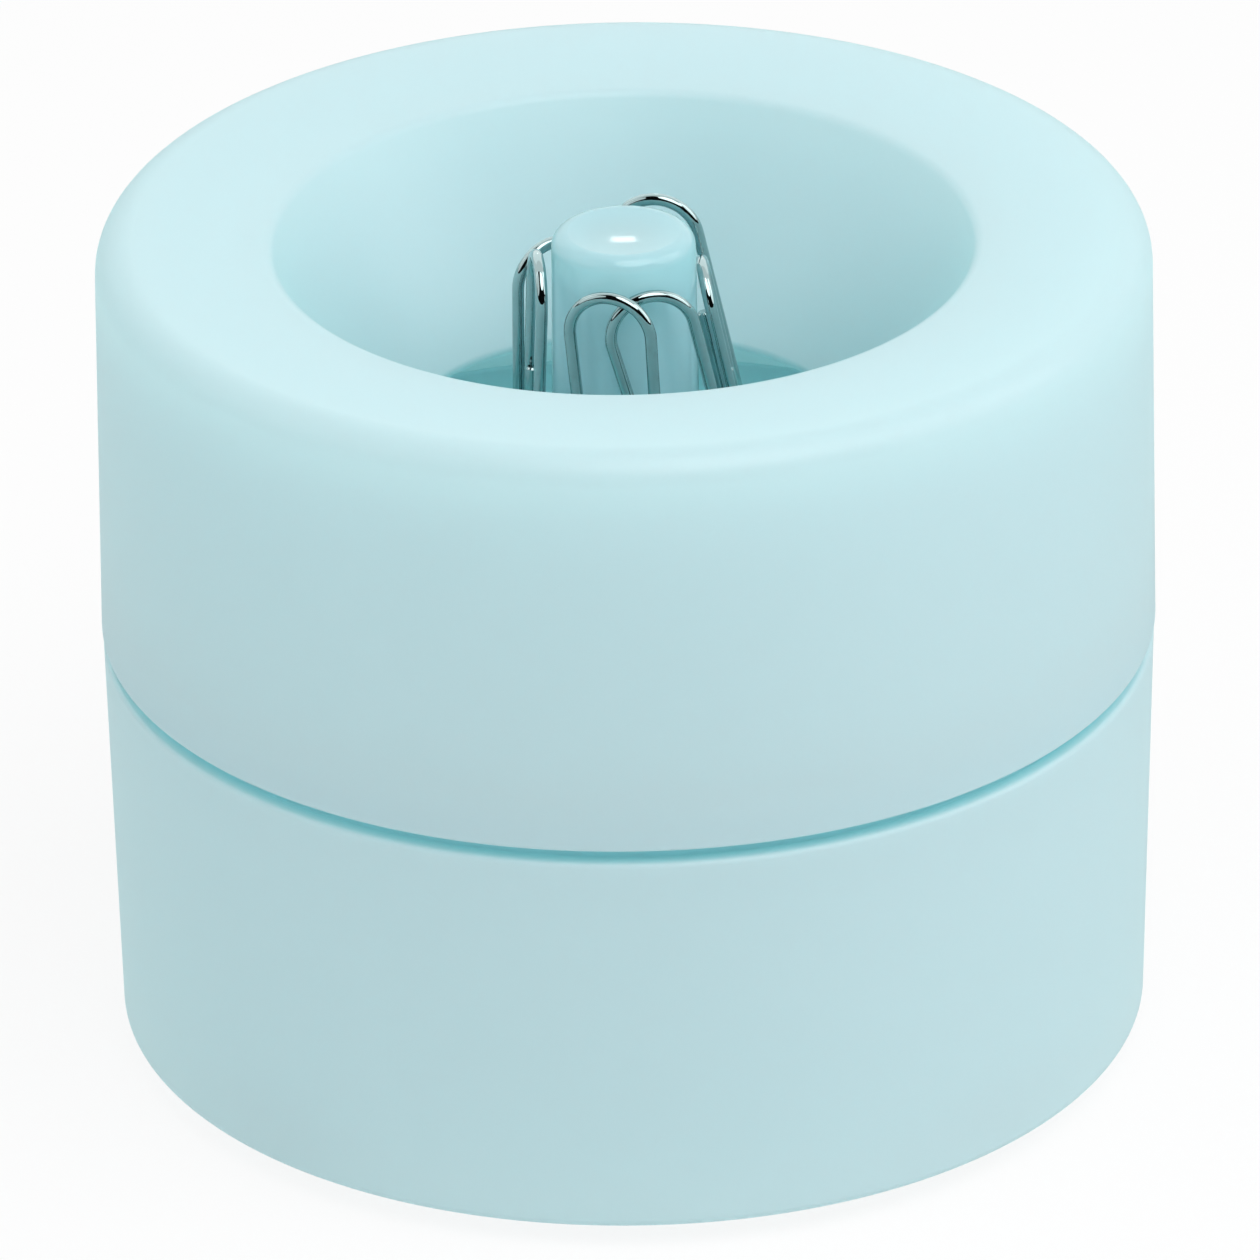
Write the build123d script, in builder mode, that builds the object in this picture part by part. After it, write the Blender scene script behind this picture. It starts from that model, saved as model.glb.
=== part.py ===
"""Magnetic paper clip holder: a round two-part pot with a magnet post, and the clips that hang on it.

The cup stands on four rubber feet. The funnel top drops onto the cup's collar and lifts straight off.
The post is pushed up through the cup's floor and holds a bar magnet that a plug keeps at the top.
Millimetres, +Z up, origin on the table under the post, front towards -Y.
"""
import os
from math import cos, radians, sin, tan

from build123d import *

# Overall
overall_height = 60.0
foot_stand = 1.5
shadow_gap = 1.0

# Cup, the lower half
cup_height = 28.35
cup_rim_radius = 36.4
cup_draft = 1.5
cup_floor = 2.4
cup_foot_round = 0.8
cup_rim_round = 0.35
cup_corner_round = 3.0
wall = 2.2

# Lap joint between the halves
collar_wall = 1.0
collar_height = 4.0
collar_round = 0.3
lap_clearance = 0.15

# Funnel top, the upper half
skirt_overhang = 0.1
skirt_draft = 0.45
skirt_edge_round = 0.25
top_round = 1.8
top_plate = 2.2
mouth_drop = 0.63
mouth_radius = 24.25
mouth_round = 1.0
throat_radius = 15.3
funnel_depth = 16.0
funnel_wall = 2.0
throat_round = 0.6
inner_round = 1.0

# Magnet post
post_head_radius = 4.95
post_draft = 0.5
post_head_round = 1.1
post_cap = 1.8
dish_radius = 3.3
dish_depth = 0.3
bore_radius = 3.5
bore_round = 0.3
flange_radius = 8.0
flange_thickness = 1.9
flange_inset = 0.1
post_clearance = 0.1
boss_wall = 4.5
boss_height = 4.0
boss_round = 0.6

# Bar magnet and the plug under it
magnet_length = 20.0
magnet_clearance = 0.1
magnet_chamfer = 0.5
plug_head_radius = 5.0
plug_head_thickness = 1.0
plug_spigot_length = 5.0
plug_clearance = 0.05
plug_rib = 1.6

# Rubber feet
foot_count = 4
foot_circle_radius = 27.0
foot_first_angle = 45.0
foot_radius = 4.0
foot_recess = 0.8
foot_clearance = 0.15
foot_round = 0.4

# Paper clips, bent from round wire with the single bend up
clip_wire = 0.85
clip_length = 28.0
clip_head_width = 6.0
clip_tail_width = 6.3
clip_inner_width = 3.75
clip_leg_gap = 0.2
clip_flare = 0.45
clip_loop_step = 3.7
clip_outer_tip = 12.0
clip_inner_tip = 9.0
clip_bend_share = 0.48
upright = 90.0

# Levels and radii that follow
underside = foot_stand
floor_top = underside + cup_floor
ledge = underside + cup_height
skirt_edge = ledge + shadow_gap
collar_top = ledge + collar_height
cup_foot_radius = cup_rim_radius - cup_height * tan(radians(cup_draft))
cavity_radius = cup_rim_radius - wall
cavity_floor_radius = cavity_radius - (collar_top - floor_top) * tan(radians(cup_draft))
collar_radius = cavity_radius + collar_wall
rebate_radius = collar_radius + lap_clearance
skirt_radius = cup_rim_radius + skirt_overhang

seat = underside + flange_inset + flange_thickness
post_foot = underside + flange_inset
post_foot_radius = post_head_radius + (overall_height - seat) * tan(radians(post_draft))
post_hole_radius = post_foot_radius + post_clearance
flange_pocket_radius = flange_radius + post_clearance
boss_radius = post_hole_radius + boss_wall
boss_top = floor_top + boss_height
bore_top = overall_height - post_cap
magnet_bottom = bore_top - magnet_length
plug_top = post_foot + plug_head_thickness
plug_recess_radius = plug_head_radius + plug_clearance

os.makedirs("parts", exist_ok=True)


def skirt_outside(level):
    """Outer radius of the drafted skirt at a height."""
    return skirt_radius - (level - skirt_edge) * tan(radians(skirt_draft))


def keep(builder, name):
    """Label a finished piece and write it."""
    builder.part.label = name
    export_step(builder.part, f"parts/{name}.step")


def turned(corners):
    """Draw a closed half section from (radius, height, corner round) triples in the current BuildLine."""
    FilletPolyline(*[(r, z) for r, z, _ in corners], radius=[c for _, _, c in corners], close=True)


# Cup: drafted wall, ledge and thin collar above it, boss round the post hole
with BuildPart() as base_cup:
    with BuildSketch(Plane.XZ) as cup_section:
        with BuildLine():
            turned([
                (flange_pocket_radius, underside, 0),
                (cup_foot_radius, underside, cup_foot_round),
                (cup_rim_radius, ledge, cup_rim_round),
                (collar_radius, ledge, 0),
                (collar_radius, collar_top, collar_round),
                (cavity_radius, collar_top, collar_round),
                (cavity_floor_radius, floor_top, cup_corner_round),
                (boss_radius, floor_top, boss_round),
                (boss_radius, boss_top, boss_round),
                (post_hole_radius, boss_top, 0),
                (post_hole_radius, seat, 0),
                (flange_pocket_radius, seat, 0),
            ])
        make_face()
    revolve(axis=Axis.Z)
    with BuildSketch(Plane.XY.offset(underside)):
        with PolarLocations(foot_circle_radius, foot_count, start_angle=foot_first_angle):
            Circle(foot_radius + foot_clearance)
    extrude(amount=foot_recess, mode=Mode.SUBTRACT)
keep(base_cup, "base_cup")

# Funnel top: skirt, slightly dished ring and conical throat in one moulding, with a rebate for the collar
mouth = overall_height - mouth_drop
ring_edge = overall_height + top_round * mouth_drop / (skirt_outside(overall_height) - mouth_radius)
throat = overall_height - funnel_depth
funnel_slope = (mouth_radius - throat_radius) / (mouth - throat)
funnel_back = funnel_wall * (1 + funnel_slope**2) ** 0.5
plate_under = overall_height - top_plate
funnel_root = throat_radius + funnel_back + (plate_under - throat) * funnel_slope
with BuildPart() as funnel_top:
    with BuildSketch(Plane.XZ) as funnel_section:
        with BuildLine():
            turned([
                (rebate_radius, skirt_edge, 0),
                (skirt_radius, skirt_edge, skirt_edge_round),
                (skirt_outside(ring_edge), ring_edge, top_round),
                (mouth_radius, mouth, mouth_round),
                (throat_radius, throat, throat_round),
                (throat_radius + funnel_back, throat, throat_round),
                (funnel_root, plate_under, inner_round),
                (skirt_outside(plate_under) - wall, plate_under, inner_round),
                (skirt_outside(collar_top) - wall, collar_top, 0),
                (rebate_radius, collar_top, 0),
            ])
        make_face()
    revolve(axis=Axis.Z)
keep(funnel_top, "funnel_top")

# Magnet post: drafted sleeve with a dished cap, bored from below, with a flange that seats under the boss
dish_curve = (dish_radius**2 + dish_depth**2) / (2 * dish_depth)
with BuildPart() as magnet_post:
    with BuildSketch(Plane.XZ) as post_section:
        with BuildLine():
            FilletPolyline(
                (0, bore_top),
                (bore_radius, bore_top),
                (bore_radius, plug_top),
                (plug_recess_radius, plug_top),
                (plug_recess_radius, post_foot),
                (flange_radius, post_foot),
                (flange_radius, seat),
                (post_foot_radius, seat),
                (post_head_radius, overall_height),
                (dish_radius, overall_height),
                radius=[bore_round, 0, 0, 0, 0, 0, 0, post_head_round],
            )
            RadiusArc((dish_radius, overall_height), (0, overall_height - dish_depth), dish_curve)
            Line((0, overall_height - dish_depth), (0, bore_top))
        make_face()
    revolve(axis=Axis.Z)
keep(magnet_post, "magnet_post")

# Bar magnet at the top of the bore
with BuildPart() as bar_magnet:
    with BuildSketch(Plane.XY.offset(magnet_bottom)):
        Circle(bore_radius - magnet_clearance)
    extrude(amount=magnet_length)
    chamfer(bar_magnet.edges().filter_by(GeomType.CIRCLE), length=magnet_chamfer)
keep(bar_magnet, "bar_magnet")

# Plug: a flush head, a round spigot in the bore and a cross-ribbed stem up to the magnet
with BuildPart() as post_plug:
    with BuildSketch(Plane.XY.offset(post_foot)):
        Circle(plug_head_radius)
    extrude(amount=plug_head_thickness)
    with BuildSketch(Plane.XY.offset(plug_top)):
        Circle(bore_radius - plug_clearance)
    extrude(amount=plug_spigot_length)
    with BuildSketch(Plane.XY.offset(plug_top + plug_spigot_length)):
        with PolarLocations(0, 2, angular_range=180):
            Rectangle(2 * (bore_radius - magnet_clearance), plug_rib)
    extrude(amount=magnet_bottom - plug_top - plug_spigot_length)
keep(post_plug, "post_plug")

# Feet: rubber discs pressed into the recesses under the cup
for number in range(foot_count):
    angle = radians(foot_first_angle + number * 360 / foot_count)
    centre = (foot_circle_radius * cos(angle), foot_circle_radius * sin(angle), 0)
    with BuildPart() as foot_pad:
        with BuildSketch(Plane(centre)):
            Circle(foot_radius)
        extrude(amount=foot_stand + foot_recess)
        fillet(foot_pad.edges().group_by(Axis.Z)[0], radius=foot_round)
    keep(foot_pad, f"foot_pad_{number + 1}")


def bend_clip(name, azimuth, drop, stand_off, shift, lean=0, splay=0, hand=1):
    """Bend one clip and hang it beside the post.

    azimuth turns from the front towards +X, drop is the head's depth below the post's top, stand_off is
    the free space to the post in wire thicknesses, shift runs along the clip's own width, lean tips it
    in its own plane, splay swings its tail away from the post, and hand puts the free ends on one side.
    """
    reach = post_head_radius + clip_wire * (0.5 + stand_off)
    turn = Location((0, 0, 0), (0, 0, azimuth))
    hook = Plane(turn * Location((shift, -reach, overall_height - drop), (upright - splay, 0, lean)))

    long_leg = -clip_head_width / 2
    inner_leg = long_leg + clip_wire + clip_leg_gap
    tail = clip_wire - clip_length
    inner_tail = tail + clip_loop_step
    corners = [
        (long_leg + clip_tail_width + clip_flare, -clip_outer_tip),
        (long_leg + clip_tail_width, tail),
        (long_leg, tail),
        (long_leg, 0),
        (-long_leg, 0),
        (inner_leg + clip_inner_width, inner_tail),
        (inner_leg, inner_tail),
        (inner_leg, -clip_inner_tip),
    ]
    widths = [clip_tail_width] * 2 + [clip_head_width] * 2 + [clip_inner_width] * 2
    with BuildPart() as clip:
        with BuildLine(hook) as bends:
            FilletPolyline(
                *[(hand * across, along) for across, along in corners],
                radius=[clip_bend_share * width for width in widths],
            )
        with BuildSketch(Plane(bends.line @ 0, z_dir=bends.line % 0)):
            Circle(clip_wire / 2)
        sweep(path=bends.line)
    keep(clip, name)


# Clips in their places round the post, the front left one lying over the front right one
bend_clip("clip_left_back", azimuth=-150.7, drop=2.6, stand_off=0.35, shift=2.15, lean=3.2, splay=0.6)
bend_clip("clip_left", azimuth=-83.8, drop=1.43, stand_off=0.73, shift=0.78, lean=0.1, splay=2.0)
bend_clip("clip_front_left", azimuth=-18.6, drop=2.09, stand_off=1.15, shift=0.89, lean=2.4, splay=-0.7, hand=-1)
bend_clip("clip_front_right", azimuth=10.7, drop=2.53, stand_off=0.32, shift=0.18, lean=12.7, splay=0.2, hand=-1)
bend_clip("clip_right", azimuth=93.2, drop=3.52, stand_off=0.11, shift=1.51, lean=-0.7, splay=11.5, hand=-1)
bend_clip("clip_right_back", azimuth=168.8, drop=0.8, stand_off=1.7, shift=-0.31, lean=-12.0, splay=2.5)
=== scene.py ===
"""Looks of the magnetic paper clip holder: turned shells, polished post, wire clips and white studio."""

import logging
from collections.abc import Iterable, Mapping, Sequence
from dataclasses import dataclass, field
from enum import Enum
from math import acos, cos, hypot, pi, radians, sin, tan
from typing import Any, ClassVar

import bmesh
import bpy
from mathutils import Matrix, Vector


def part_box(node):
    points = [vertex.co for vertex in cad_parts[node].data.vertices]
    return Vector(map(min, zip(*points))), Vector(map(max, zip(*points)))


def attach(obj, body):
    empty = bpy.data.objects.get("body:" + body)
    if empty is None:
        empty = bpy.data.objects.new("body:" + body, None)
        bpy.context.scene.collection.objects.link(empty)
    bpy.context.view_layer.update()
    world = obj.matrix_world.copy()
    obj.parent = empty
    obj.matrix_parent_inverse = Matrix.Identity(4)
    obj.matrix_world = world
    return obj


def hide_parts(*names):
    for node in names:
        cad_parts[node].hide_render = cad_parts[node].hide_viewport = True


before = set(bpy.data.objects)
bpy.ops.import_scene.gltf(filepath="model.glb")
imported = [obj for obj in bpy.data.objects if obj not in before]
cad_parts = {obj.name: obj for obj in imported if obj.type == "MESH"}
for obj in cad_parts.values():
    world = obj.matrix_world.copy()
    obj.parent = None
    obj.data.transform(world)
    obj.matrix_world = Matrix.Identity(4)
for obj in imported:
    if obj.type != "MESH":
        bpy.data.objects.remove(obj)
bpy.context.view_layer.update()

LOG = logging.getLogger("clip_holder")
MM = 0.001
SHARP_ANGLE = radians(32)
# Attribute that marks the seam's hollow, where the shell's colour is darkened as painted shade
SEAM_SHADE = "seam_painted_shade"
SEAM_MARGIN = 0.01 * MM
ON_AXIS = 0.0001 * MM
NOISE_MEAN = 0.5
RECESS_SEGMENTS = 48

Corner = tuple[float, float, float]
Point = tuple[float, float]
Colour = tuple[float, float, float]


class Hand(Enum):
    """Side of a clip that its free ends lie on, seen from outside."""

    RIGHT = 1
    LEFT = -1


class LampShape(Enum):
    """Outline of a studio lamp."""

    DISC = "DISK"
    STRIP = "RECTANGLE"


def linear(red: int, green: int, blue: int) -> Colour:
    """Turn a screen colour into the linear values that shaders use.

    Args:
        red: Red from 0 to 255.
        green: Green from 0 to 255.
        blue: Blue from 0 to 255.

    Returns:
        The three linear values.
    """
    shares = (channel / 255 for channel in (red, green, blue))
    return tuple(s / 12.92 if s <= 0.04045 else ((s + 0.055) / 1.055) ** 2.4 for s in shares)


class Signal:
    """A node's output that takes part in Python sums, each of which adds a Math node."""

    def __init__(self, paint: "Paint", socket: bpy.types.NodeSocket) -> None:
        """Keep the output and the tree that it belongs to."""
        self.paint = paint
        self.socket = socket

    def _math(self, operation: str, first: Any, second: Any) -> "Signal":
        """Add one Math node over two values or outputs."""
        return self.paint.node("ShaderNodeMath", {"operation": operation}, {0: first, 1: second})

    def __add__(self, other: Any) -> "Signal":
        """Sum with another output or number."""
        return self._math("ADD", self, other)

    def __radd__(self, other: Any) -> "Signal":
        """Sum with a number on the left."""
        return self._math("ADD", other, self)

    def __sub__(self, other: Any) -> "Signal":
        """Difference from another output or number."""
        return self._math("SUBTRACT", self, other)

    def __rsub__(self, other: Any) -> "Signal":
        """A number less this output."""
        return self._math("SUBTRACT", other, self)

    def __mul__(self, other: Any) -> "Signal":
        """Product with another output or number."""
        return self._math("MULTIPLY", self, other)

    def __rmul__(self, other: Any) -> "Signal":
        """Product with a number on the left."""
        return self._math("MULTIPLY", other, self)

    def most(self, other: Any) -> "Signal":
        """The larger of this output and another."""
        return self._math("MAXIMUM", self, other)


class Paint:
    """Builder of one node tree, for a material or the world."""

    # Places of a Mix node's colour sockets
    MIX_SHARE = 0
    MIX_FIRST = 6
    MIX_SECOND = 7
    MIX_RESULT = 2

    def __init__(self, tree: bpy.types.NodeTree) -> None:
        """Empty the tree so that only the nodes asked for are in it."""
        self.tree = tree
        tree.nodes.clear()

    def node(
        self,
        kind: str,
        settings: Mapping[str, Any] | None = None,
        sockets: Mapping[int | str, Any] | None = None,
        output: int | str = 0,
    ) -> Signal:
        """Add a node, set it up and link it.

        Args:
            kind: Blender's name of the node's type.
            settings: Properties of the node, with a ramp's colours under "stops".
            sockets: Values or outputs for the node's inputs, by name or number.
            output: Name or number of the output to hand on.

        Returns:
            The chosen output, or the first input of a node that has none.
        """
        made = self.tree.nodes.new(kind)
        for key, value in (settings or {}).items():
            if key == "stops":
                self._set_stops(made.color_ramp, value)
            else:
                setattr(made, key, value)
        for key, value in (sockets or {}).items():
            if isinstance(value, Signal):
                self.tree.links.new(value.socket, made.inputs[key])
            else:
                made.inputs[key].default_value = value
        return Signal(self, made.outputs[output] if len(made.outputs) else made.inputs[0])

    @staticmethod
    def _set_stops(ramp: bpy.types.ColorRamp, stops: Sequence[tuple[float, float]]) -> None:
        """Give a ramp its grey stops, as pairs of place and brightness."""
        while len(ramp.elements) < len(stops):
            ramp.elements.new(1.0)
        for element, (place, level) in zip(ramp.elements, stops):
            element.position = place
            element.color = (level, level, level, 1.0)

    def noise(self, scale: float, detail: float, where: Signal | None = None) -> Signal:
        """Cloudy values from 0 to 1.

        Args:
            scale: Lumps per metre.
            detail: Number of finer layers.
            where: Place to sample, or the object's own coordinates.

        Returns:
            The noise's value.
        """
        place = where or self.node("ShaderNodeTexCoord", output="Object")
        sockets = {"Vector": place, "Scale": scale, "Detail": detail}
        return self.node("ShaderNodeTexNoise", None, sockets, "Fac")

    def blend(self, share: Any, first: Any, second: Any) -> Signal:
        """Mix two colours.

        Args:
            share: How much of the second colour, from 0 to 1.
            first: Colour at share 0.
            second: Colour at share 1.

        Returns:
            The mixed colour.
        """
        sockets = {
            self.MIX_SHARE: share,
            self.MIX_FIRST: solid(first),
            self.MIX_SECOND: solid(second),
        }
        return self.node("ShaderNodeMix", {"data_type": "RGBA"}, sockets, self.MIX_RESULT)

    def bump(self, height: Signal, depth: float) -> Signal:
        """Turn a height into a surface normal.

        Args:
            height: Height from 0 to 1.
            depth: Height of 1 in metres.

        Returns:
            The bent normal.
        """
        return self.node("ShaderNodeBump", None, {"Strength": 1.0, "Distance": depth, "Height": height})


def solid(colour: Any) -> Any:
    """Add an opaque alpha to a colour, and leave an output as it is."""
    return colour if isinstance(colour, Signal) else (*colour, 1.0)


@dataclass(frozen=True)
class Finish:
    """A surface finish that dresses pieces."""

    name: str

    def material(self) -> bpy.types.Material:
        """Make the material, or find it if it is made already."""
        made = bpy.data.materials.get(self.name)
        if made is None:
            made = bpy.data.materials.new(self.name)
            made.use_nodes = True
            paint = Paint(made.node_tree)
            surface = self.surface(paint)
            paint.node("ShaderNodeOutputMaterial", None, {"Surface": surface})
        return made

    def surface(self, paint: Paint) -> Signal:
        """Shader of the finish, given by each kind of finish."""
        raise NotImplementedError

    def dress(self, pieces: Iterable[bpy.types.Object]) -> None:
        """Give every piece this one material."""
        for piece in pieces:
            piece.data.materials.clear()
            piece.data.materials.append(self.material())


@dataclass(frozen=True)
class MouldedPlastic(Finish):
    """Coloured plastic from a mould, with its fine spark-eroded grain and faint flow clouds."""

    colour: Colour
    cloud: Colour
    roughness: float
    grain_depth: float
    grain_size: float
    gloss: float = 0.0
    gloss_roughness: float = 0.2
    glow: float = 0.45
    glow_colour: Colour = (0.66, 0.95, 0.94)
    cloud_size: float = 14 * MM
    rub_size: float = 3.5 * MM
    rub_spread: float = 0.10
    # Deeper colour painted into the seam: painted shade of the shadow gap
    seam_shade_colour: Colour = (0.36, 0.76, 0.86)
    refraction: float = 1.49

    def surface(self, paint: Paint) -> Signal:
        """Clouded colour with painted shade in the seam, a fine grain and a roughness varied by handling.
        """
        clouds = paint.noise(1 / self.cloud_size, detail=3)
        tint = paint.blend(clouds, self.colour, self.cloud)
        # Mask of the seam, where painted shade darkens the colour
        seam_shade = paint.node("ShaderNodeAttribute", {"attribute_name": SEAM_SHADE}, output="Fac")
        rubbed = paint.noise(1 / self.rub_size, detail=6)
        grain = paint.noise(1 / self.grain_size, detail=2)
        rough = self.roughness + (rubbed - NOISE_MEAN) * self.rub_spread
        sockets = {
            "Base Color": paint.blend(seam_shade, tint, self.seam_shade_colour),
            "Roughness": rough + (grain - NOISE_MEAN) * self.rub_spread,
            "IOR": self.refraction,
            "Coat Weight": self.gloss,
            "Coat Roughness": self.gloss_roughness,
            "Normal": paint.bump(grain, self.grain_depth),
        }
        skin = paint.node("ShaderNodeBsdfPrincipled", None, sockets)
        through = paint.node("ShaderNodeBsdfTranslucent", None, {"Color": solid(self.glow_colour)})
        return paint.node("ShaderNodeMixShader", None, {0: self.glow, 1: skin, 2: through})


@dataclass(frozen=True)
class BrightWire(Finish):
    """Plated steel wire with drawing lines along its run."""

    colour: Colour
    # Colour of the random tarnish spots, tinted teal as a painted reflection of the aqua pot
    tarnish_and_reflection: Colour
    roughness: float
    line_depth: float
    run_scale: float
    turn_scale: float
    line_roughness: float = 0.04
    spot_size: float = 0.8 * MM
    spot_stops: tuple[tuple[float, float], ...] = ((0.55, 0.0), (0.75, 1.0))
    spot_share: float = 0.35
    spot_roughness: float = 0.03

    def surface(self, paint: Paint) -> Signal:
        """Mirror metal whose roughness and normal follow the drawing lines."""
        run = paint.node("ShaderNodeAttribute", {"attribute_name": PaperClip.RUN}, output="Fac")
        turn = paint.node("ShaderNodeAttribute", {"attribute_name": PaperClip.TURN}, output="Fac")
        scaled = {0: run * self.run_scale, 1: turn * self.turn_scale}
        place = paint.node("ShaderNodeCombineXYZ", None, scaled)
        lines = paint.noise(1.0, detail=3, where=place)
        spots = paint.noise(1 / self.spot_size, detail=4)
        spotted = paint.node("ShaderNodeValToRGB", {"stops": self.spot_stops}, {0: spots})
        sockets = {
            # Tarnish spots at random over a teal-tinted metal; the tint is a painted reflection
            "Base Color": paint.blend(spotted * self.spot_share, self.colour, self.tarnish_and_reflection),
            "Metallic": 1.0,
            "Roughness": self.roughness + lines * self.line_roughness + spotted * self.spot_roughness,
            "Normal": paint.bump(lines, self.line_depth),
        }
        return paint.node("ShaderNodeBsdfPrincipled", None, sockets)


@dataclass(frozen=True)
class SoftRubber(Finish):
    """Dull rubber with a fine pebbled skin and dust on it."""

    colour: Colour
    dust: Colour
    roughness: float
    pebble_size: float = 0.35 * MM
    pebble_depth: float = 0.03 * MM
    pebble_sheen: float = 0.08
    dust_size: float = 1.5 * MM
    dust_share: float = 0.6

    def surface(self, paint: Paint) -> Signal:
        """Pebbled, dusty and nearly without gloss."""
        pebbles = paint.node(
            "ShaderNodeTexVoronoi",
            {"feature": "SMOOTH_F1"},
            {"Vector": paint.node("ShaderNodeTexCoord", output="Object"), "Scale": 1 / self.pebble_size},
            "Distance",
        )
        dusty = paint.noise(1 / self.dust_size, detail=5)
        sockets = {
            "Base Color": paint.blend(dusty * self.dust_share, self.colour, self.dust),
            "Roughness": self.roughness - pebbles * self.pebble_sheen,
            "Normal": paint.bump(pebbles, self.pebble_depth),
        }
        return paint.node("ShaderNodeBsdfPrincipled", None, sockets)


@dataclass(frozen=True)
class NickelPlate(Finish):
    """Barrel-plated magnet with soft knocks."""

    colour: Colour
    roughness: float
    knock_size: float = 1.2 * MM
    knock_depth: float = 0.02 * MM
    knock_share: float = 0.4
    knock_shade: float = 0.8
    knock_roughness: float = 0.12

    def surface(self, paint: Paint) -> Signal:
        """Metal with dents and cloudy roughness."""
        knocks = paint.noise(1 / self.knock_size, detail=4)
        dull = tuple(self.knock_shade * channel for channel in self.colour)
        sockets = {
            "Base Color": paint.blend(knocks * self.knock_share, self.colour, dull),
            "Metallic": 1.0,
            "Roughness": self.roughness + knocks * self.knock_roughness,
            "Normal": paint.bump(knocks, self.knock_depth),
        }
        return paint.node("ShaderNodeBsdfPrincipled", None, sockets)


SHELL = MouldedPlastic(
    "aqua_shell",
    colour=(0.825, 0.902, 0.956),
    cloud=(0.81, 0.892, 0.946),
    roughness=0.42,
    grain_depth=0.004 * MM,
    grain_size=0.16 * MM,
    gloss=0.9,
    gloss_roughness=0.35,
)
# The post is the shell's plastic; its deeper, more saturated colour here is painted shade for its side
# down in the funnel
POLISHED = MouldedPlastic(
    "aqua_post",
    colour=(0.62, 0.885, 0.975),
    cloud=(0.60, 0.875, 0.965),
    roughness=0.14,
    grain_depth=0.001 * MM,
    grain_size=0.3 * MM,
    gloss=1.0,
    gloss_roughness=0.06,
    rub_spread=0.05,
)
# The teal tint of the wire's colour and tarnish is a painted reflection of the aqua pot around it; the
# plated steel itself is grey
WIRE = BrightWire(
    "bright_wire",
    colour=(0.38, 0.50, 0.505),
    tarnish_and_reflection=(0.30, 0.38, 0.38),
    roughness=0.02,
    line_depth=0.001 * MM,
    run_scale=240.0,
    turn_scale=26.0,
)
RUBBER = SoftRubber(
    "grey_rubber",
    colour=linear(196, 202, 203),
    dust=linear(214, 217, 217),
    roughness=0.82,
)
NICKEL = NickelPlate("nickel_plate", colour=(0.62, 0.60, 0.57), roughness=0.22)


def rounded(corners: Sequence[Corner], closed: bool, steps: int = 9) -> list[Point]:
    """Follow a chain of corners and round each one with an arc.

    Args:
        corners: Across, along and corner radius of each corner.
        closed: True where the last corner joins the first.
        steps: Pieces that a quarter turn is cut into.

    Returns:
        The points of the outline.
    """
    points: list[Point] = []
    count = len(corners)
    for index, (across, along, radius) in enumerate(corners):
        at_end = not closed and index in (0, count - 1)
        if at_end or radius == 0:
            points.append((across, along))
            continue
        here = Vector((across, along))
        before = (here - Vector(corners[index - 1][:2])).normalized()
        after = (Vector(corners[(index + 1) % count][:2]) - here).normalized()
        turn = acos(max(-1.0, min(1.0, before.dot(after))))
        side = 1 if before.cross(after) > 0 else -1
        start = here - before * radius * tan(turn / 2)
        inward = Vector((-before.y, before.x)) * side
        centre = start + inward * radius
        pieces = max(2, round(steps * turn / (pi / 2)))
        for piece in range(pieces + 1):
            angle = side * turn * piece / pieces
            spoke = Matrix.Rotation(angle, 2) @ (start - centre)
            points.append(tuple(centre + spoke))
    return points


def finished(name: str, mesh: bpy.types.Mesh) -> bpy.types.Object:
    """Put a mesh into the scene with smooth faces and crisp edges.

    Args:
        name: Name of the piece.
        mesh: The piece's mesh.

    Returns:
        The new object.
    """
    mesh.polygons.foreach_set("use_smooth", [True] * len(mesh.polygons))
    mesh.set_sharp_from_angle(angle=SHARP_ANGLE)
    mesh.validate()
    piece = bpy.data.objects.new(name, mesh)
    bpy.context.scene.collection.objects.link(piece)
    return piece


def turned(name: str, outline: Sequence[Point], segments: int = 192) -> bpy.types.Mesh:
    """Turn an outline round the Z axis into a closed mesh.

    Args:
        name: Name of the mesh.
        outline: Radius and height of each point, in order round the section, inside on the left.
        segments: Steps of the full turn.

    Returns:
        The mesh.
    """
    build = bmesh.new()
    rings = []
    for radius, height in outline:
        if radius < ON_AXIS:
            rings.append([build.verts.new((0, 0, height))])
            continue
        angles = (2 * pi * step / segments for step in range(segments))
        rings.append([build.verts.new((radius * cos(a), radius * sin(a), height)) for a in angles])
    for ring, following in zip(rings, rings[1:] + rings[:1]):
        bridge(build, ring, following)
    bmesh.ops.recalc_face_normals(build, faces=build.faces)
    mesh = bpy.data.meshes.new(name)
    build.to_mesh(mesh)
    build.free()
    return mesh


def bridge(build: bmesh.types.BMesh, ring: list[Any], following: list[Any]) -> None:
    """Fill the band between two rings of a turned mesh, either of which may be a single point.

    Args:
        build: The mesh in the making.
        ring: Points of the first ring.
        following: Points of the next ring.
    """
    if len(ring) == 1 and len(following) == 1:
        return
    count = max(len(ring), len(following))
    for step in range(count):
        after = (step + 1) % count
        band = [ring[step % len(ring)], ring[after % len(ring)],
                following[after % len(following)], following[step % len(following)]]
        build.faces.new(list(dict.fromkeys(band)))


def carve(target: bpy.types.Object, cutters: Sequence[bpy.types.Object]) -> None:
    """Cut other shapes out of a piece and delete them.

    Args:
        target: Piece to cut.
        cutters: Closed shapes to take away.
    """
    for cutter in cutters:
        cut = target.modifiers.new(cutter.name, "BOOLEAN")
        cut.operation = "DIFFERENCE"
        cut.solver = "EXACT"
        cut.object = cutter
    graph = bpy.context.evaluated_depsgraph_get()
    cut_mesh = bpy.data.meshes.new_from_object(target.evaluated_get(graph))
    target.modifiers.clear()
    target.data = cut_mesh
    for cutter in cutters:
        bpy.data.objects.remove(cutter)


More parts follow.
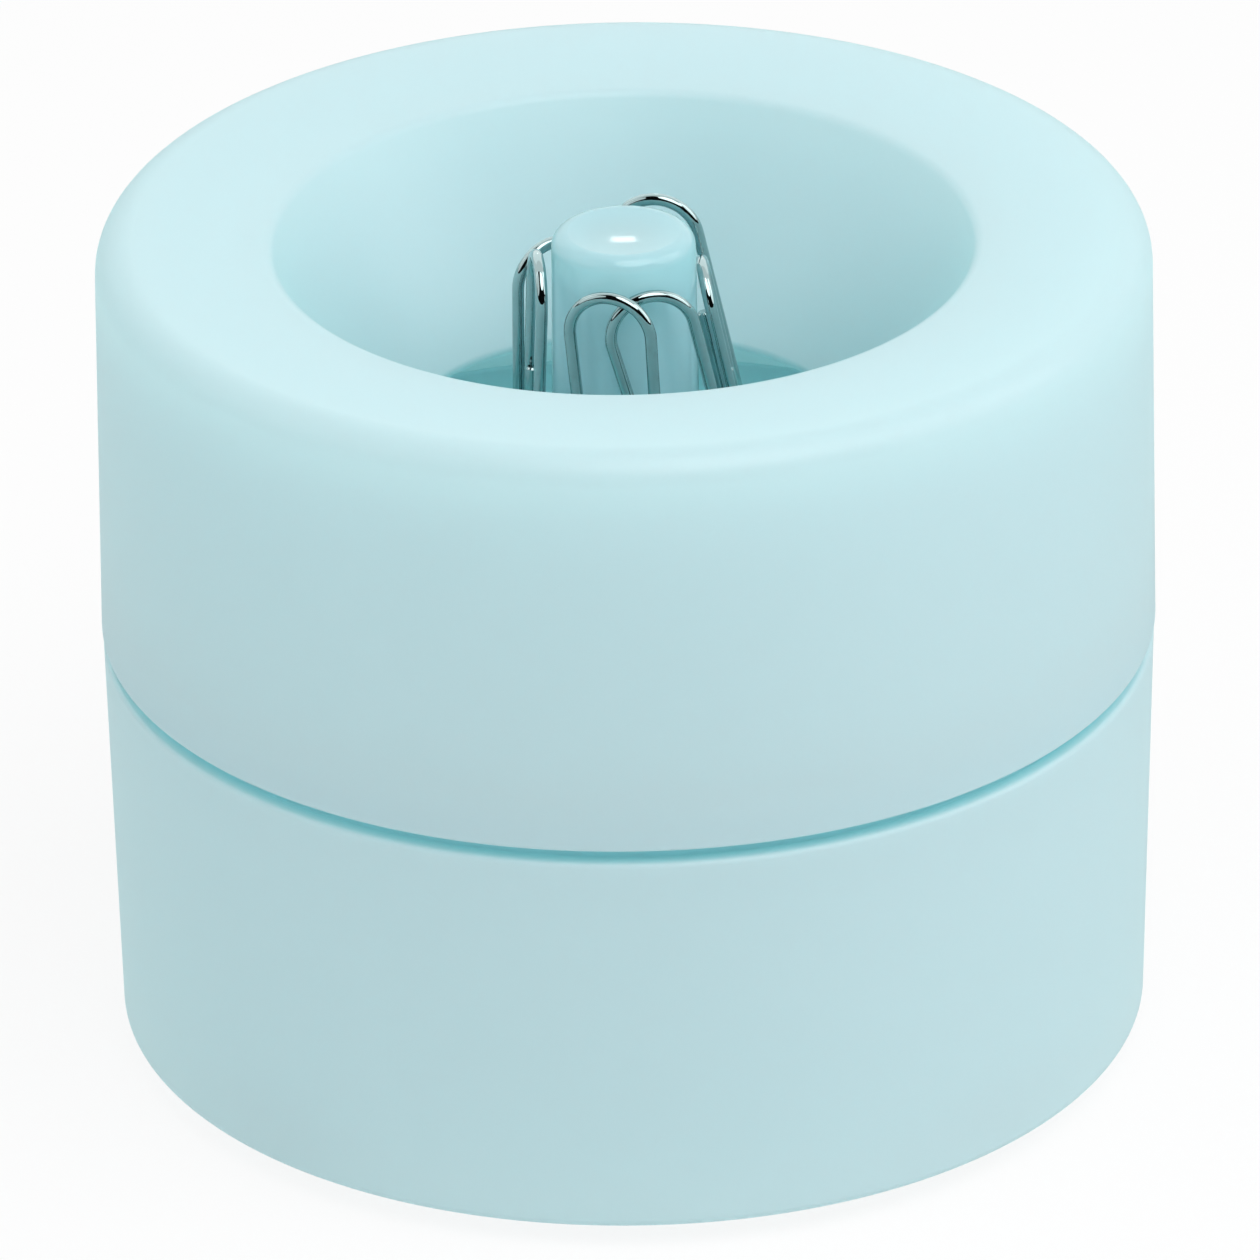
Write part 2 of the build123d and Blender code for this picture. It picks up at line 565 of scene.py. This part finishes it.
def mark_seam_shade(piece: bpy.types.Object, radius: float, level: float, reach: float) -> None:
    """Note where a turned piece lies deep in the seam, for its finish to paint the seam's shade there as
    a darker colour.

    Args:
        piece: The finished piece.
        radius: Radius of the seam's inner corner.
        level: Height of that corner.
        reach: How far the corner's own round goes.
    """
    reach += SEAM_MARGIN
    places = [vertex.co for vertex in piece.data.vertices]
    # Points in the seam's corner, which get the painted shade
    shaded = [
        abs(hypot(place.x, place.y) - radius) < reach and abs(place.z - level) < reach
        for place in places
    ]
    seam_shade = piece.data.attributes.new(SEAM_SHADE, "FLOAT", "POINT")
    seam_shade.data.foreach_set("value", [float(value) for value in shaded])


def seat(piece: bpy.types.Object, body: str, slot: str, *nodes: str) -> None:
    """Let a piece stand for CAD nodes on their body.

    Args:
        piece: The finished piece.
        body: CAD body that it rides on.
        slot: Name of a material slot; not used.
        nodes: CAD nodes that it replaces.
    """
    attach(piece, body)
    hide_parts(*nodes)
    LOG.info("%s rides on %s", piece.name, body)


@dataclass
class BaseCup:
    """Lower half of the pot, with its collar, floor boss and foot recesses."""

    wall: float = 2.2 * MM
    floor: float = 2.4 * MM
    draft: float = radians(1.5)
    collar_wall: float = 1.0 * MM
    collar_height: float = 4.0 * MM
    rim_round: float = 0.35 * MM
    foot_round: float = 0.8 * MM
    corner_round: float = 3.0 * MM
    collar_round: float = 0.3 * MM
    boss_wall: float = 4.5 * MM
    boss_height: float = 4.0 * MM
    boss_round: float = 0.6 * MM
    post_clearance: float = 0.1 * MM
    foot_clearance: float = 0.15 * MM
    pocket_round: float = 0.15 * MM
    ledge_round: float = 0.12 * MM
    hole_round: float = 0.1 * MM

    def __post_init__(self) -> None:
        """Read the cup's reach and the post that it holds from the frame."""
        low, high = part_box("base_cup")
        post_low, post_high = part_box("magnet_post")
        self.underside = low.z
        self.collar_top = high.z
        self.ledge = self.collar_top - self.collar_height
        self.rim = FunnelTop.skirt_radius() - FunnelTop.overhang
        self.collar = self.rim - self.wall + self.collar_wall
        self.flange = post_high.x
        self.seat = post_low.z + MagnetPost.flange_thickness

    def outline(self) -> list[Point]:
        """Half section of the cup."""
        slope = tan(self.draft)
        floor_top = self.underside + self.floor
        cavity = self.rim - self.wall
        hole = MagnetPost.foot_radius(self.seat) + self.post_clearance
        boss = hole + self.boss_wall
        pocket = self.flange + self.post_clearance
        return rounded([
            (pocket, self.underside, self.pocket_round),
            (self.rim - (self.ledge - self.underside) * slope, self.underside, self.foot_round),
            (self.rim, self.ledge, self.rim_round),
            (self.collar, self.ledge, self.ledge_round),
            (self.collar, self.collar_top, self.collar_round),
            (cavity, self.collar_top, self.collar_round),
            (cavity - (self.collar_top - floor_top) * slope, floor_top, self.corner_round),
            (boss, floor_top, self.boss_round),
            (boss, floor_top + self.boss_height, self.boss_round),
            (hole, floor_top + self.boss_height, self.hole_round),
            (hole, self.seat, 0),
            (pocket, self.seat, 0),
        ], closed=True)

    def recesses(self) -> list[bpy.types.Object]:
        """Plain discs where the feet go in."""
        cutters = []
        for name in Feet.NODES:
            low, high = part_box(name)
            radius = (high.x - low.x) / 2 + self.foot_clearance
            disc = [(0, low.z), (radius, low.z), (radius, high.z), (0, high.z)]
            mesh = turned(f"{name}_recess", disc, RECESS_SEGMENTS)
            middle = (low + high) / 2
            mesh.transform(Matrix.Translation((middle.x, middle.y, 0)))
            cutters.append(finished(f"{name}_recess", mesh))
        return cutters

    def build(self) -> None:
        """Turn the cup, recess it and dress it."""
        cup = finished("cup_shell", turned("cup_shell", self.outline()))
        carve(cup, self.recesses())
        # Painted shade at the foot of the collar, in the shadow gap
        mark_seam_shade(cup, self.collar, self.ledge, self.ledge_round)
        SHELL.dress([cup])
        seat(cup, "holder", "shell_plastic", "base_cup")


@dataclass
class FunnelTop:
    """Upper half of the pot: skirt, slightly dished ring and funnel in one moulding."""

    wall: float = 2.2 * MM
    plate: float = 2.2 * MM
    draft: float = radians(0.45)
    edge_round: float = 0.25 * MM
    top_round: float = 2.4 * MM
    mouth: float = 24.25 * MM
    mouth_drop: float = 0.63 * MM
    mouth_round: float = 1.0 * MM
    throat: float = 15.3 * MM
    depth: float = 16.0 * MM
    funnel_wall: float = 2.0 * MM
    throat_round: float = 0.6 * MM
    inner_round: float = 1.0 * MM
    lap_clearance: float = 0.15 * MM
    rebate_round: float = 0.12 * MM
    shoulder_round: float = 0.1 * MM

    overhang: ClassVar[float] = 0.1 * MM

    def __post_init__(self) -> None:
        """Read the skirt's reach from the frame, and the rebate from the collar that it goes round."""
        self.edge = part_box("funnel_top")[0].z
        self.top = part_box("magnet_post")[1].z
        self.skirt = FunnelTop.skirt_radius()
        self.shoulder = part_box("base_cup")[1].z
        self.rebate = BaseCup().collar + self.lap_clearance

    @staticmethod
    def skirt_radius() -> float:
        """Radius of the skirt's sharp edge, held inside the CAD box both ways."""
        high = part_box("funnel_top")[1]
        return min(high.x, high.y)

    def outside(self, level: float) -> float:
        """Radius of the drafted skirt at a height."""
        return self.skirt - (level - self.edge) * tan(self.draft)

    def outline(self) -> list[Point]:
        """Half section of the funnel top."""
        lip = self.top - self.mouth_drop
        crest = self.top + self.top_round * self.mouth_drop / (self.outside(self.top) - self.mouth)
        slope = (self.mouth - self.throat) / (self.depth - self.mouth_drop)
        back = self.throat + self.funnel_wall * hypot(1, slope)
        bottom = self.top - self.depth
        under = self.top - self.plate
        return rounded([
            (self.rebate, self.edge, self.rebate_round),
            (self.skirt, self.edge, self.edge_round),
            (self.outside(crest), crest, self.top_round),
            (self.mouth, lip, self.mouth_round),
            (self.throat, bottom, self.throat_round),
            (back, bottom, self.throat_round),
            (back + (under - bottom) * slope, under, self.inner_round),
            (self.outside(under) - self.wall, under, self.inner_round),
            (self.outside(self.shoulder) - self.wall, self.shoulder, self.shoulder_round),
            (self.rebate, self.shoulder, 0),
        ], closed=True)

    def build(self) -> None:
        """Turn the funnel top and dress it."""
        top = finished("funnel_shell", turned("funnel_shell", self.outline()))
        # Painted shade in the rebate's corner, at the top of the shadow gap
        mark_seam_shade(top, self.rebate, self.edge, self.rebate_round)
        SHELL.dress([top])
        seat(top, "top", "shell_plastic", "funnel_top")


@dataclass
class MagnetPost:
    """Post in the middle, with its dished cap and the flange under the cup."""

    head_round: float = 1.1 * MM
    cap: float = 1.8 * MM
    dish: float = 3.85 * MM
    dish_depth: float = 0.3 * MM
    dish_steps: int = 24
    bore: float = 3.5 * MM
    bore_round: float = 0.3 * MM
    plug_head: float = 1.0 * MM
    plug_clearance: float = 0.05 * MM
    recess_round: float = 0.1 * MM
    flange_round: float = 0.2 * MM
    segments: int = 96

    flange_thickness: ClassVar[float] = 1.9 * MM
    head: ClassVar[float] = 4.95 * MM
    draft: ClassVar[float] = radians(0.5)

    @classmethod
    def foot_radius(cls, level: float) -> float:
        """Radius of the drafted post at a height."""
        return cls.head + (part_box("magnet_post")[1].z - level) * tan(cls.draft)

    def outline(self) -> list[Point]:
        """Half section of the post, from the bore's roof round to the middle of the dish."""
        low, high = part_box("magnet_post")
        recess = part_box("post_plug")[1].x + self.plug_clearance
        plug_top = low.z + self.plug_head
        seat_level = low.z + self.flange_thickness
        side = rounded([
            (0, high.z - self.cap, 0),
            (self.bore, high.z - self.cap, self.bore_round),
            (self.bore, plug_top, 0),
            (recess, plug_top, 0),
            (recess, low.z, self.recess_round),
            (high.x, low.z, self.flange_round),
            (high.x, seat_level, 0),
            (self.foot_radius(seat_level), seat_level, 0),
            (self.head, high.z, self.head_round),
            (self.dish, high.z, 0),
        ], closed=False)
        shares = [step / self.dish_steps for step in range(1, self.dish_steps + 1)]
        bowl = [
            (self.dish * (1 - share), high.z - self.dish_depth * (1 - (1 - share) ** 2))
            for share in shares
        ]
        return side + bowl

    def build(self) -> None:
        """Turn the post, and dress it with the magnet and plug that it hides."""
        post = finished("post_sleeve", turned("post_sleeve", self.outline(), self.segments))
        POLISHED.dress([post])
        seat(post, "holder", "post_plastic", "magnet_post")
        SHELL.dress([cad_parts["post_plug"]])
        NICKEL.dress([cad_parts["bar_magnet"]])


@dataclass
class Feet:
    """Rubber feet in the recesses under the cup."""

    edge_round: float = 0.4 * MM
    dimple: float = 2.2 * MM
    dimple_depth: float = 0.25 * MM
    dimple_round: float = 0.1 * MM
    dimple_edge: float = 0.15 * MM
    seat_round: float = 0.1 * MM
    steps: int = 6
    segments: int = 48

    NODES: ClassVar[Sequence[str]] = ("foot_pad_1", "foot_pad_2", "foot_pad_3", "foot_pad_4")

    def build(self) -> None:
        """Turn each foot at its node's place, with the dimple that a moulded foot has."""
        for name in self.NODES:
            low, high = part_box(name)
            radius = (high.x - low.x) / 2
            outline = rounded([
                (0, low.z + self.dimple_depth, 0),
                (self.dimple, low.z + self.dimple_depth, self.dimple_round),
                (self.dimple + self.dimple_depth, low.z, self.dimple_edge),
                (radius, low.z, self.edge_round),
                (radius, high.z, self.seat_round),
                (0, high.z, 0),
            ], closed=False, steps=self.steps)
            mesh = turned(f"{name}_rubber", outline, self.segments)
            middle = (low + high) / 2
            mesh.transform(Matrix.Translation((middle.x, middle.y, 0)))
            foot = finished(f"{name}_rubber", mesh)
            RUBBER.dress([foot])
            seat(foot, "holder", "foot_rubber", name)


@dataclass
class PaperClip:
    """One clip bent from round wire, hung beside the post with its single bend up.

    The angles are in degrees, drop and shift in millimetres, and stand_off in wire thicknesses.
    """

    node: str
    azimuth: float
    drop: float
    stand_off: float
    shift: float
    lean: float = 0.0
    splay: float = 0.0
    hand: Hand = Hand.RIGHT

    wire: float = 0.85 * MM
    length: float = 28.0 * MM
    head_width: float = 6.0 * MM
    tail_width: float = 6.3 * MM
    inner_width: float = 3.75 * MM
    leg_gap: float = 0.2 * MM
    flare: float = 0.45 * MM
    loop_step: float = 3.7 * MM
    outer_tip: float = 12.0 * MM
    inner_tip: float = 9.0 * MM
    bend_share: float = 0.48
    bend_steps: int = 14
    tip_ease: float = 0.12 * MM
    sides: int = 20

    RUN: ClassVar[str] = "wire_run"
    TURN: ClassVar[str] = "wire_turn"

    def route(self) -> list[Point]:
        """Line of the wire in the clip's own plane, from the outer free end to the inner one."""
        long_leg = -self.head_width / 2
        inner_leg = long_leg + self.wire + self.leg_gap
        tail = self.wire - self.length
        inner_tail = tail + self.loop_step
        share = self.bend_share
        corners = [
            (long_leg + self.tail_width + self.flare, -self.outer_tip, 0),
            (long_leg + self.tail_width, tail, share * self.tail_width),
            (long_leg, tail, share * self.tail_width),
            (long_leg, 0, share * self.head_width),
            (-long_leg, 0, share * self.head_width),
            (inner_leg + self.inner_width, inner_tail, share * self.inner_width),
            (inner_leg, inner_tail, share * self.inner_width),
            (inner_leg, -self.inner_tip, 0),
        ]
        flipped = [(self.hand.value * across, along, radius) for across, along, radius in corners]
        return rounded(flipped, closed=False, steps=self.bend_steps)

    def place(self) -> Matrix:
        """Frame of the clip's plane beside the post."""
        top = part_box("magnet_post")[1].z
        reach = MagnetPost.head + self.wire * (0.5 + self.stand_off)
        turn = Matrix.Rotation(radians(self.azimuth), 4, "Z")
        step = Matrix.Translation((self.shift * MM, -reach, top - self.drop * MM))
        hang = Matrix.Rotation(radians(90 - self.splay), 4, "X")
        tip = Matrix.Rotation(radians(self.lean), 4, "Z")
        return turn @ step @ (hang @ tip)

    def rings(self) -> list[tuple[Vector, Vector, float]]:
        """Middle, direction and radius of each ring of the wire, with eased tips."""
        line = [Vector((across, along, 0)) for across, along in self.route()]
        ways = [(after - before).normalized() for before, after in zip(line, line[1:])]
        joints = [ways[0]] + [(a + b).normalized() for a, b in zip(ways, ways[1:])] + [ways[-1]]
        radius = self.wire / 2
        ease = self.tip_ease
        rings = [
            (line[0], joints[0], radius - ease),
            (line[0] + joints[0] * ease, joints[0], radius),
        ]
        rings += [(point, way, radius) for point, way in zip(line[1:-1], joints[1:-1])]
        rings.append((line[-1] - joints[-1] * ease, joints[-1], radius))
        rings.append((line[-1], joints[-1], radius - ease))
        return rings

    def mesh(self) -> bpy.types.Mesh:
        """Sweep the wire and note each point's run along it and turn round it."""
        points: list[Vector] = []
        faces: list[list[int]] = []
        runs: list[float] = []
        turns: list[float] = []
        travelled = 0.0
        previous = None
        upright = Vector((0, 0, 1))
        for middle, way, radius in self.rings():
            travelled += (middle - previous).length if previous else 0.0
            previous = middle
            across = way.cross(upright)
            for side in range(self.sides):
                angle = 2 * pi * side / self.sides
                points.append(middle + (across * cos(angle) + upright * sin(angle)) * radius)
                runs.append(travelled)
                turns.append(abs(1 - side * 2 / self.sides))
        count = len(points) // self.sides
        for ring in range(count - 1):
            base = ring * self.sides
            following = base + self.sides
            for side in range(self.sides):
                after = (side + 1) % self.sides
                faces.append([base + side, following + side, following + after, base + after])
        faces.append(list(range(self.sides)))
        faces.append([(count - 1) * self.sides + side for side in reversed(range(self.sides))])
        mesh = bpy.data.meshes.new(f"{self.node}_wire")
        mesh.from_pydata([tuple(point) for point in points], [], faces)
        for name, values in ((self.RUN, runs), (self.TURN, turns)):
            mesh.attributes.new(name, "FLOAT", "POINT").data.foreach_set("value", values)
        return mesh

    def build(self) -> None:
        """Bend the clip, hang it and dress it."""
        mesh = self.mesh()
        mesh.transform(self.place())
        clip = finished(f"{self.node}_wire", mesh)
        WIRE.dress([clip])
        seat(clip, self.node, "clip_steel", self.node)


def faced(place: Vector, aim: Vector) -> Matrix:
    """Frame at a place whose -Z axis looks at a point.

    Args:
        place: Where the frame is.
        aim: Point that it faces.

    Returns:
        The frame as a matrix.
    """
    return Matrix.Translation(place) @ (aim - place).to_track_quat("-Z", "Y").to_matrix().to_4x4()


@dataclass
class Lamp:
    """One soft lamp of the studio, aimed at the pot, which lights it or is only mirrored in it."""

    name: str
    direction: tuple[float, float, float]
    distance: float
    width: float
    watts: float
    shape: LampShape = LampShape.DISC
    height: float = 0.0
    lights: bool = True

    def build(self, aim: Vector) -> None:
        """Hang the lamp and turn it to the aim.

        Args:
            aim: Point that the lamp faces.
        """
        data = bpy.data.lights.new(self.name, "AREA")
        data.shape = self.shape.value
        data.size = self.width
        if self.shape is LampShape.STRIP:
            data.size_y = self.height
        data.energy = self.watts
        lamp = bpy.data.objects.new(self.name, data)
        lamp.matrix_world = faced(aim + Vector(self.direction).normalized() * self.distance, aim)
        lamp.visible_diffuse = self.lights
        lamp.visible_transmission = self.lights
        bpy.context.scene.collection.objects.link(lamp)


@dataclass
class DarkSide:
    """A black screen for the unlit half of the room behind the camera, which only mirrors see: it paints
    dark reflections.
    """

    radius: float = 2.6
    width: float = radians(190)
    low: float = radians(4)
    high: float = radians(78)
    steps: int = 24
    shade: Colour = (0.01, 0.01, 0.01)

    def build(self) -> None:
        """Curve a black screen round the front of the pot."""
        points = []
        for row in range(self.steps + 1):
            rise = self.low + (self.high - self.low) * row / self.steps
            for column in range(self.steps + 1):
                way = self.width * (column / self.steps - 0.5) - pi / 2
                points.append((cos(rise) * cos(way), cos(rise) * sin(way), sin(rise)))
        faces = []
        for row in range(self.steps):
            for column in range(self.steps):
                corner = row * (self.steps + 1) + column
                faces.append((corner, corner + 1, corner + self.steps + 2, corner + self.steps + 1))
        mesh = bpy.data.meshes.new("dark_side")
        mesh.from_pydata([tuple(self.radius * c for c in point) for point in points], [], faces)
        screen = finished("dark_side", mesh)
        # Hidden from all but mirrored rays, so the screen is only a painted dark reflection
        for ray in ("camera", "diffuse", "transmission", "volume_scatter", "shadow"):
            setattr(screen, f"visible_{ray}", False)
        material = bpy.data.materials.new("dark_side")
        material.use_nodes = True
        paint = Paint(material.node_tree)
        black = paint.node("ShaderNodeBsdfDiffuse", None, {"Color": solid(self.shade)})
        paint.node("ShaderNodeOutputMaterial", None, {"Surface": black})
        mesh.materials.append(material)


@dataclass
class Studio:
    """White floor, white surroundings, soft lamps and the camera."""

    distance: float = 1.2
    elevation: float = radians(26.58)
    roll: float = radians(-0.79)
    focal_pixels: float = 17310.0
    frame_pixels: float = 1260.0
    sensor: float = 36.0
    aim: Vector = field(default_factory=lambda: Vector((0.08 * MM, 0.0, 29.4 * MM)))
    near: float = 0.1
    far: float = 30.0
    white: Colour = (1.0, 1.0, 1.0)
    floor_reach: float = 8.0
    floor_colour: Colour = (0.9, 0.9, 0.9)
    ambient: float = 0.43
    floor_glow: float = 0.88
    lamps: Sequence[Lamp] = (
        Lamp("key_softbox", (0.221, -0.383, 0.897), distance=1.2, width=1.0, watts=6.7),
        Lamp("right_softbox", (0.816, -0.071, 0.574), distance=1.2, width=1.0, watts=4.2),
        Lamp("left_softbox", (-0.791, -0.212, 0.574), distance=1.2, width=1.0, watts=2.4),
        Lamp(
            "back_screen", (0.0, 0.86, 0.5), distance=1.6, width=3.0, watts=5.0,
            shape=LampShape.STRIP, height=1.5, lights=False,
        ),
        Lamp(
            "glint_strip", (0.0, 0.92, 0.39), distance=1.4, width=0.07, watts=0.10,
            shape=LampShape.STRIP, height=0.10, lights=False,
        ),
    )

    def camera(self) -> None:
        """Set the camera where the picture was taken from."""
        data = bpy.data.cameras.new("product_camera")
        data.sensor_width = self.sensor
        data.lens = self.focal_pixels / self.frame_pixels * self.sensor
        data.clip_start = self.near
        data.clip_end = self.far
        right = Vector((1, 0, 0))
        up = Vector((0, sin(self.elevation), cos(self.elevation)))
        back = Vector((0, -cos(self.elevation), sin(self.elevation)))
        level = right * cos(self.roll) + up * sin(self.roll)
        plumb = up * cos(self.roll) - right * sin(self.roll)
        camera = bpy.data.objects.new("product_camera", data)
        turn = Matrix((level, plumb, back)).transposed().to_4x4()
        camera.matrix_world = Matrix.Translation(self.aim + back * self.distance) @ turn
        bpy.context.scene.collection.objects.link(camera)
        bpy.context.scene.camera = camera

    @staticmethod
    def seen(paint: Paint) -> Signal:
        """1 for rays from the camera, and for those that reflect or pass through to it."""
        direct = paint.node("ShaderNodeLightPath", output="Is Camera Ray")
        mirrored = paint.node("ShaderNodeLightPath", output="Is Glossy Ray")
        passed = paint.node("ShaderNodeLightPath", output="Is Transmission Ray")
        return direct.most(mirrored).most(passed)

    def surroundings(self) -> None:
        """White world that lights the pot softly."""
        world = bpy.data.worlds.new("white_room")
        world.use_nodes = True
        paint = Paint(world.node_tree)
        strength = self.ambient + self.seen(paint) * (1 - self.ambient)
        sky = paint.node("ShaderNodeBackground", None, {"Color": solid(self.white), "Strength": strength})
        paint.node("ShaderNodeOutputWorld", None, {"Surface": sky})
        bpy.context.scene.world = world

    def floor(self) -> None:
        """White table that fades into the surroundings and keeps the pot's shadow."""
        reach = self.floor_reach
        mesh = bpy.data.meshes.new("white_floor")
        corners = [(-reach, -reach, 0), (reach, -reach, 0), (reach, reach, 0), (-reach, reach, 0)]
        mesh.from_pydata(corners, [], [(0, 1, 2, 3)])
        material = bpy.data.materials.new("white_floor")
        material.use_nodes = True
        paint = Paint(material.node_tree)
        table = paint.node("ShaderNodeBsdfDiffuse", None, {"Color": solid(self.floor_colour)})
        white = paint.node("ShaderNodeEmission", None, {"Color": solid(self.white), "Strength": 1.0})
        glow = self.seen(paint) * self.floor_glow
        shown = paint.node("ShaderNodeMixShader", None, {0: glow, 1: table, 2: white})
        paint.node("ShaderNodeOutputMaterial", None, {"Surface": shown})
        mesh.materials.append(material)
        floor = bpy.data.objects.new("white_floor", mesh)
        bpy.context.scene.collection.objects.link(floor)

    def build(self) -> None:
        """Put up the whole studio."""
        bpy.context.scene.view_settings.view_transform = "Standard"
        self.surroundings()
        self.floor()
        for lamp in self.lamps:
            lamp.build(self.aim)
        DarkSide().build()
        self.camera()


CLIPS = (
    PaperClip(
        "clip_left_back", azimuth=-150.7, drop=2.6, stand_off=0.35, shift=2.15, lean=3.2, splay=0.6,
    ),
    PaperClip(
        "clip_left", azimuth=-83.8, drop=1.43, stand_off=0.73, shift=0.78, lean=0.1, splay=2.0,
    ),
    PaperClip(
        "clip_front_left", azimuth=-18.6, drop=2.09, stand_off=1.15, shift=0.89, lean=2.4, splay=-0.7,
        hand=Hand.LEFT,
    ),
    PaperClip(
        "clip_front_right", azimuth=10.7, drop=2.53, stand_off=0.32, shift=0.18, lean=12.7, splay=0.2,
        hand=Hand.LEFT,
    ),
    PaperClip(
        "clip_right", azimuth=93.2, drop=3.52, stand_off=0.11, shift=1.51, lean=-0.7, splay=11.5,
        hand=Hand.LEFT,
    ),
    PaperClip(
        "clip_right_back", azimuth=168.8, drop=0.8, stand_off=1.7, shift=-0.31, lean=-12.0, splay=2.5,
    ),
)


def main() -> None:
    """Build every sub-assembly, then the studio."""
    logging.basicConfig(level=logging.INFO, format="%(name)s: %(message)s")
    for assembly in (BaseCup(), FunnelTop(), MagnetPost(), Feet(), *CLIPS, Studio()):
        assembly.build()


if __name__ == "__main__":
    main()
